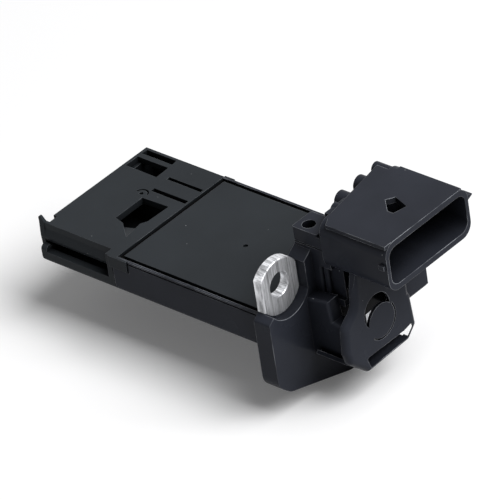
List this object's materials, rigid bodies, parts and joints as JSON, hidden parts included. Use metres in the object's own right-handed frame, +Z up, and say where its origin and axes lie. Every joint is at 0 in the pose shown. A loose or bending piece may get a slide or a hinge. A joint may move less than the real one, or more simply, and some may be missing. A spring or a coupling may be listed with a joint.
{
  "type": "mass airflow sensor",
  "caption": "Plug-in mass airflow sensor: a flat black probe with an air bypass in its tip, a flange with aluminium bushes and an angled electrical socket.",
  "frame": {"origin": "halfway between the two flange screws, on the plane where the flange seats", "axes": "+X out of the tube along the probe, towards the socket's mouth; +Y across the probe's width; +Z up through its thickness, towards the socket's side"},
  "size_m": [0.0742, 0.034, 0.0344],
  "materials": {
    "black_plastic": "satin moulded black plastic, rounded glossy edges",
    "tip_plastic": "satin moulded black plastic",
    "sealant": "cured black sealant",
    "bush_aluminium": "bright, brushed and scratched",
    "plate_aluminium": "milled",
    "board": "green solder resist",
    "chip_resin": "moulded resin",
    "gel": "cloudy silicone gel",
    "capacitor": "ceramic",
    "carrier_resin": "moulded resin",
    "silicon": "polished silicon",
    "bond_metal": "drawn wire",
    "bead_glass": "amber glass",
    "terminal_metal": "tin plated"
  },
  "bodies": {
    "root": {"housing": "black_plastic", "bypass_channel": "tip_plastic", "bypass_cover": "tip_plastic", "circuit_cover": "tip_plastic", "cover_sealant": "sealant", "base_plate": "plate_aluminium", "circuit_board": "board", "control_chip": "chip_resin", "protective_gel": "gel", "chip_capacitors": "capacitor", "sensor_carrier": "carrier_resin", "sensing_chip": "silicon", "bond_wires": "bond_metal", "terminal_wires": "bond_metal", "thermistor_bead": "bead_glass", "thermistor_leads": "bond_metal", "fixing_bush_upper": "bush_aluminium", "fixing_bush_lower": "bush_aluminium", "terminal_1": "terminal_metal", "terminal_2": "terminal_metal", "terminal_3": "terminal_metal", "terminal_4": "terminal_metal", "terminal_5": "terminal_metal"}
  },
  "joints": []
}
